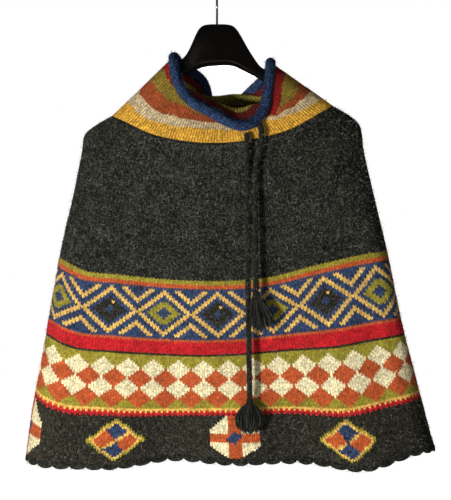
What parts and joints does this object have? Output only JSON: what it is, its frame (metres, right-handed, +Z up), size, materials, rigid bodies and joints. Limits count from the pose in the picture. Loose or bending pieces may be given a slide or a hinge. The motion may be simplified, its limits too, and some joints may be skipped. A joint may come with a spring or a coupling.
{
  "type": "poncho on a clothes hanger",
  "caption": "Hand-knitted wool poncho with a striped funnel collar, tasselled drawcord and scalloped hem, hanging on a plain plastic clothes hanger.",
  "frame": {"origin": "inside top of the hanger's hook, where the whole thing hangs", "axes": "+Z up along the hanging direction, -Y out of the garment's front, +X towards the viewer's right when the front is seen"},
  "size_m": [0.6936, 0.1651, 0.8067],
  "materials": {
    "charcoal_wool": "heavy hand-knitted wool, matt and slightly fuzzy",
    "striped_wool": "ribbed wool in mustard, cream, rust, green and red stripes",
    "blue_wool": "rolled edge in blue wool",
    "cord_wool": "twisted wool cord and cut wool tassels",
    "hanger_plastic": "smooth glossy black",
    "hook_steel": "bright steel wire"
  },
  "bodies": {
    "root": {"body": "charcoal_wool", "hem_edging": "charcoal_wool", "collar": "striped_wool", "collar_rim": "blue_wool", "drawcord_long": "cord_wool", "drawcord_short": "cord_wool", "tassel_long": "cord_wool", "tassel_short": "cord_wool", "hanger": "hanger_plastic", "hanger_hook": "hook_steel"}
  },
  "joints": []
}
